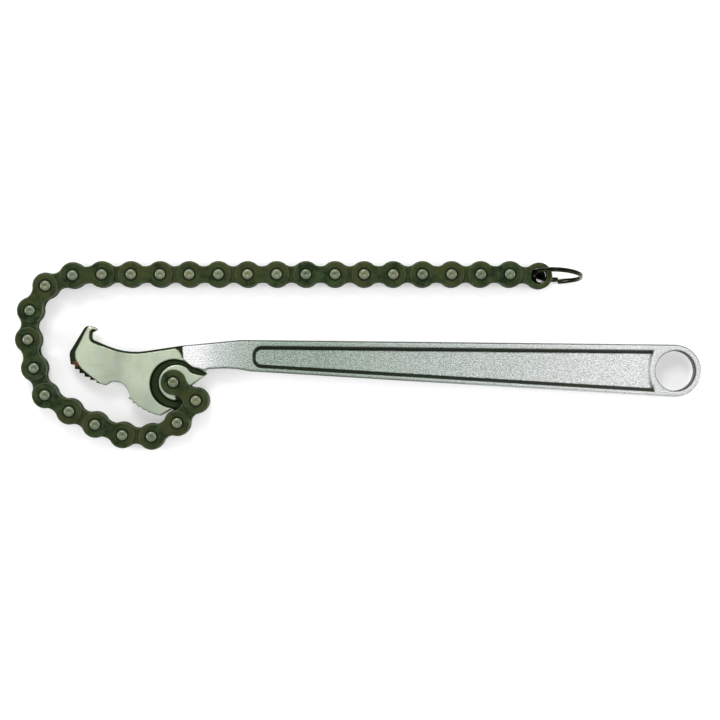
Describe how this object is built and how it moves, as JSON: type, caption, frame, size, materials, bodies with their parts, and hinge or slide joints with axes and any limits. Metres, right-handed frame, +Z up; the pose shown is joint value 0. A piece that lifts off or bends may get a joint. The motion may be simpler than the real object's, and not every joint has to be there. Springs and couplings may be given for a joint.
{
  "type": "chain wrench",
  "caption": "Chain wrench with a toothed hook head, a flat I-section handle with a hanging hole, and a pinned roller chain ending in a split ring.",
  "frame": {"origin": "middle of the footprint, on the surface that the wrench lies on", "axes": "+X along the handle from the toothed head to the hanging hole, +Y across it towards the chain's straight tail, +Z up"},
  "size_m": [0.3742, 0.103, 0.0276],
  "materials": {
    "forged_steel": "satin plated forging, ground head faces, dark as-forged edges",
    "plate_steel": "blackened, lightly oiled chain plate",
    "pin_steel": "bright worn pin end",
    "ring_steel": "glossy blackened spring wire"
  },
  "bodies": {
    "handle": {"wrench_handle": "forged_steel"},
    "link_01": {"anchor_pin": "pin_steel", "outer_link_1_pinned_plate": "plate_steel", "outer_link_1_cover_plate": "plate_steel"},
    "link_02": {"inner_link_1_bushed_plate": "plate_steel", "inner_link_1_plate": "plate_steel"},
    "link_03": {"outer_link_2_pinned_plate": "plate_steel", "outer_link_2_cover_plate": "plate_steel"},
    "link_04": {"inner_link_2_bushed_plate": "plate_steel", "inner_link_2_plate": "plate_steel"},
    "link_05": {"outer_link_3_pinned_plate": "plate_steel", "outer_link_3_cover_plate": "plate_steel"},
    "link_06": {"inner_link_3_bushed_plate": "plate_steel", "inner_link_3_plate": "plate_steel"},
    "link_07": {"outer_link_4_pinned_plate": "plate_steel", "outer_link_4_cover_plate": "plate_steel"},
    "link_08": {"inner_link_4_bushed_plate": "plate_steel", "inner_link_4_plate": "plate_steel"},
    "link_09": {"outer_link_5_pinned_plate": "plate_steel", "outer_link_5_cover_plate": "plate_steel"},
    "link_10": {"inner_link_5_bushed_plate": "plate_steel", "inner_link_5_plate": "plate_steel"},
    "link_11": {"outer_link_6_pinned_plate": "plate_steel", "outer_link_6_cover_plate": "plate_steel"},
    "link_12": {"inner_link_6_bushed_plate": "plate_steel", "inner_link_6_plate": "plate_steel"},
    "link_13": {"outer_link_7_pinned_plate": "plate_steel", "outer_link_7_cover_plate": "plate_steel"},
    "link_14": {"inner_link_7_bushed_plate": "plate_steel", "inner_link_7_plate": "plate_steel"},
    "link_15": {"outer_link_8_pinned_plate": "plate_steel", "outer_link_8_cover_plate": "plate_steel"},
    "link_16": {"inner_link_8_bushed_plate": "plate_steel", "inner_link_8_plate": "plate_steel"},
    "link_17": {"outer_link_9_pinned_plate": "plate_steel", "outer_link_9_cover_plate": "plate_steel"},
    "link_18": {"inner_link_9_bushed_plate": "plate_steel", "inner_link_9_plate": "plate_steel"},
    "link_19": {"outer_link_10_pinned_plate": "plate_steel", "outer_link_10_cover_plate": "plate_steel"},
    "link_20": {"inner_link_10_bushed_plate": "plate_steel", "inner_link_10_plate": "plate_steel"},
    "link_21": {"outer_link_11_pinned_plate": "plate_steel", "outer_link_11_cover_plate": "plate_steel"},
    "link_22": {"inner_link_11_bushed_plate": "plate_steel", "inner_link_11_plate": "plate_steel"},
    "link_23": {"outer_link_12_pinned_plate": "plate_steel", "outer_link_12_cover_plate": "plate_steel"},
    "link_24": {"inner_link_12_bushed_plate": "plate_steel", "inner_link_12_plate": "plate_steel"},
    "link_25": {"outer_link_13_pinned_plate": "plate_steel", "outer_link_13_cover_plate": "plate_steel"},
    "link_26": {"inner_link_13_bushed_plate": "plate_steel", "inner_link_13_plate": "plate_steel"},
    "link_27": {"outer_link_14_pinned_plate": "plate_steel", "outer_link_14_cover_plate": "plate_steel"},
    "link_28": {"inner_link_14_bushed_plate": "plate_steel", "inner_link_14_plate": "plate_steel"},
    "tail_ring": {"tail_ring": "ring_steel"}
  },
  "joints": [
    {"name": "anchor_hinge", "type": "hinge", "parent": "handle", "child": "link_01", "pos_m": [-0.10072, -0.01461, 0.0107], "axis": [0, 0, -1], "range_deg": [-6, 1]},
    {"name": "link_02_hinge", "type": "hinge", "parent": "link_01", "child": "link_02", "pos_m": [-0.08838, -0.0246, 0.0107], "axis": [0, 0, -1], "range_deg": [-24, 0]},
    {"name": "link_03_hinge", "type": "hinge", "parent": "link_02", "child": "link_03", "pos_m": [-0.09858, -0.03676, 0.0107], "axis": [0, 0, 1], "range_deg": [-8, 45]},
    {"name": "link_04_hinge", "type": "hinge", "parent": "link_03", "child": "link_04", "pos_m": [-0.1126, -0.04421, 0.0107], "axis": [0, 0, -1], "range_deg": [-45, 7]},
    {"name": "link_05_hinge", "type": "hinge", "parent": "link_04", "child": "link_05", "pos_m": [-0.12845, -0.04338, 0.0107], "axis": [0, 0, 1], "range_deg": [-7, 45]},
    {"name": "link_06_hinge", "type": "hinge", "parent": "link_05", "child": "link_06", "pos_m": [-0.14328, -0.03769, 0.0107], "axis": [0, 0, 1], "range_deg": [-6, 45]},
    {"name": "link_07_hinge", "type": "hinge", "parent": "link_06", "child": "link_07", "pos_m": [-0.15742, -0.03049, 0.0107], "axis": [0, 0, 1], "range_deg": [-6, 45]},
    {"name": "link_08_hinge", "type": "hinge", "parent": "link_07", "child": "link_08", "pos_m": [-0.17058, -0.02161, 0.0107], "axis": [0, 0, 1], "range_deg": [-6, 45]},
    {"name": "link_09_hinge", "type": "hinge", "parent": "link_08", "child": "link_09", "pos_m": [-0.17653, -0.00689, 0.0107], "axis": [0, 0, -1], "range_deg": [-45, 6]},
    {"name": "link_10_hinge", "type": "hinge", "parent": "link_09", "child": "link_10", "pos_m": [-0.17983, 0.00864, 0.0107], "axis": [0, 0, 1], "range_deg": [-5, 45]},
    {"name": "link_11_hinge", "type": "hinge", "parent": "link_10", "child": "link_11", "pos_m": [-0.17872, 0.02448, 0.0107], "axis": [0, 0, 1], "range_deg": [-5, 45]},
    {"name": "link_12_hinge", "type": "hinge", "parent": "link_11", "child": "link_12", "pos_m": [-0.17031, 0.03794, 0.0107], "axis": [0, 0, -1], "range_deg": [-45, 6]},
    {"name": "link_13_hinge", "type": "hinge", "parent": "link_12", "child": "link_13", "pos_m": [-0.15549, 0.04363, 0.0107], "axis": [0, 0, 1], "range_deg": [-6, 45]},
    {"name": "link_14_hinge", "type": "hinge", "parent": "link_13", "child": "link_14", "pos_m": [-0.13962, 0.04418, 0.0107], "axis": [0, 0, -1], "range_deg": [-45, 6]},
    {"name": "link_15_hinge", "type": "hinge", "parent": "link_14", "child": "link_15", "pos_m": [-0.12375, 0.04418, 0.0107], "axis": [0, 0, -1], "range_deg": [-45, 7]},
    {"name": "link_16_hinge", "type": "hinge", "parent": "link_15", "child": "link_16", "pos_m": [-0.10787, 0.04418, 0.0107], "axis": [0, 0, -1], "range_deg": [-45, 8]},
    {"name": "link_17_hinge", "type": "hinge", "parent": "link_16", "child": "link_17", "pos_m": [-0.092, 0.04418, 0.0107], "axis": [0, 0, 1], "range_deg": [-8, 45]},
    {"name": "link_18_hinge", "type": "hinge", "parent": "link_17", "child": "link_18", "pos_m": [-0.07612, 0.04418, 0.0107], "axis": [0, 0, 1], "range_deg": [-9, 45]},
    {"name": "link_19_hinge", "type": "hinge", "parent": "link_18", "child": "link_19", "pos_m": [-0.06025, 0.04418, 0.0107], "axis": [0, 0, -1], "range_deg": [-45, 10]},
    {"name": "link_20_hinge", "type": "hinge", "parent": "link_19", "child": "link_20", "pos_m": [-0.04437, 0.04418, 0.0107], "axis": [0, 0, 1], "range_deg": [-11, 45]},
    {"name": "link_21_hinge", "type": "hinge", "parent": "link_20", "child": "link_21", "pos_m": [-0.0285, 0.04418, 0.0107], "axis": [0, 0, -1], "range_deg": [-45, 12]},
    {"name": "link_22_hinge", "type": "hinge", "parent": "link_21", "child": "link_22", "pos_m": [-0.01262, 0.04418, 0.0107], "axis": [0, 0, -1], "range_deg": [-45, 14]},
    {"name": "link_23_hinge", "type": "hinge", "parent": "link_22", "child": "link_23", "pos_m": [0.00325, 0.04418, 0.0107], "axis": [0, 0, 1], "range_deg": [-16, 45]},
    {"name": "link_24_hinge", "type": "hinge", "parent": "link_23", "child": "link_24", "pos_m": [0.01913, 0.04418, 0.0107], "axis": [0, 0, 1], "range_deg": [-18, 45]},
    {"name": "link_25_hinge", "type": "hinge", "parent": "link_24", "child": "link_25", "pos_m": [0.035, 0.04418, 0.0107], "axis": [0, 0, 1], "range_deg": [-22, 45]},
    {"name": "link_26_hinge", "type": "hinge", "parent": "link_25", "child": "link_26", "pos_m": [0.05088, 0.04418, 0.0107], "axis": [0, 0, -1], "range_deg": [-45, 28]},
    {"name": "link_27_hinge", "type": "hinge", "parent": "link_26", "child": "link_27", "pos_m": [0.06675, 0.04418, 0.0107], "axis": [0, 0, 1], "range_deg": [-37, 45]},
    {"name": "link_28_hinge", "type": "hinge", "parent": "link_27", "child": "link_28", "pos_m": [0.08263, 0.04418, 0.0107], "axis": [0, 0, 1], "range_deg": [-45, 45]},
    {"name": "tail_ring_swing", "type": "hinge", "parent": "link_28", "child": "tail_ring", "pos_m": [0.09848, 0.04335, 0.0107], "axis": [0, 0, -1], "range_deg": [-45, 45]}
  ]
}
